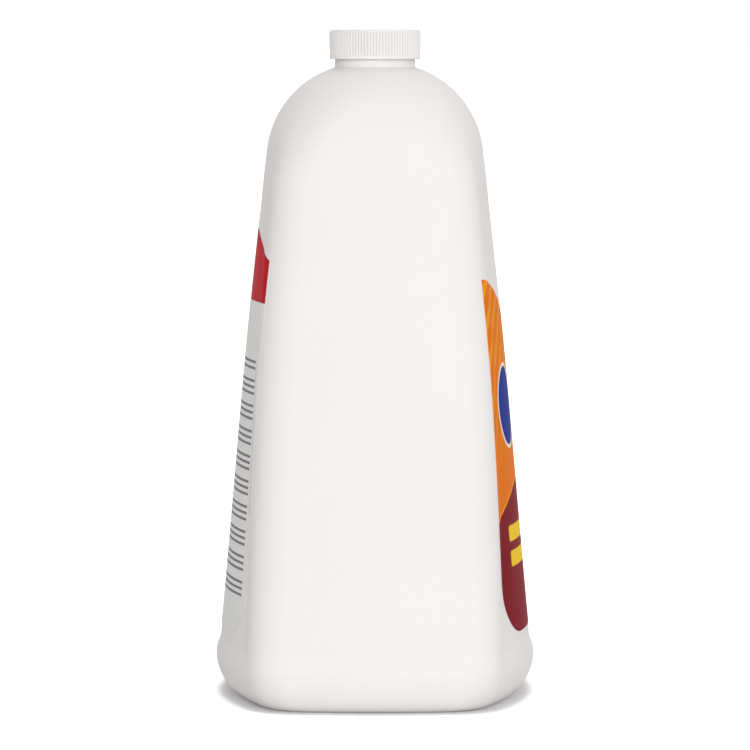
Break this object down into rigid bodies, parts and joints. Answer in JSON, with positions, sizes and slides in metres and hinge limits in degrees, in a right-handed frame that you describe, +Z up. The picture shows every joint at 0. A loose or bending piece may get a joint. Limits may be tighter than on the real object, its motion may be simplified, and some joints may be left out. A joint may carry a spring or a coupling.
{
  "type": "stain remover bottle",
  "caption": "Blow-moulded refill jug with a hollow grip and finger gap, label panels front and back, and a ribbed screw cap with a foam liner.",
  "frame": {"origin": "centre of the base, on the plane that the jug stands on", "axes": "+Z up through the neck; the front label faces -Y, the back label faces +Y, and the hollow grip and finger gap are on the +X side"},
  "size_m": [0.179, 0.143, 0.296],
  "materials": {
    "jug_plastic": "satin white polyethylene with a faint mould texture",
    "cap_plastic": "satin white polypropylene, fine vertical ribs",
    "liner_foam": "fine closed-cell foam",
    "orange_film": "printed label film, semi-gloss",
    "maroon_print": "printed field, semi-gloss",
    "yellow_print": "printed bars, semi-gloss",
    "blue_print": "printed roundel, semi-gloss",
    "pale_film": "printed label film, semi-gloss",
    "red_print": "printed banner, semi-gloss",
    "grey_print": "plain printed bars, semi-gloss"
  },
  "bodies": {
    "bottle": {"bottle": "jug_plastic", "front_label": "orange_film", "front_label_maroon_field": "maroon_print", "front_label_yellow_bars": "yellow_print", "front_label_blue_roundel": "blue_print", "back_label": "pale_film", "back_label_red_banner": "red_print", "back_label_grey_lines": "grey_print"},
    "liner": {"cap_liner": "liner_foam"},
    "cap": {"cap": "cap_plastic"}
  },
  "joints": [
    {"name": "cap_rise", "type": "slide", "parent": "bottle", "child": "liner", "axis": [0, 0, 1], "range_m": [0, 0.0148]},
    {"name": "cap_turn", "type": "hinge", "parent": "liner", "child": "cap", "pos_m": [0, 0, 0.2895], "axis": [0, 0, 1], "range_deg": [0, 1258]}
  ],
  "couplings": [
    {"joint": "cap_rise", "follows": "cap_turn", "m_per_rad": 0.0006737}
  ]
}
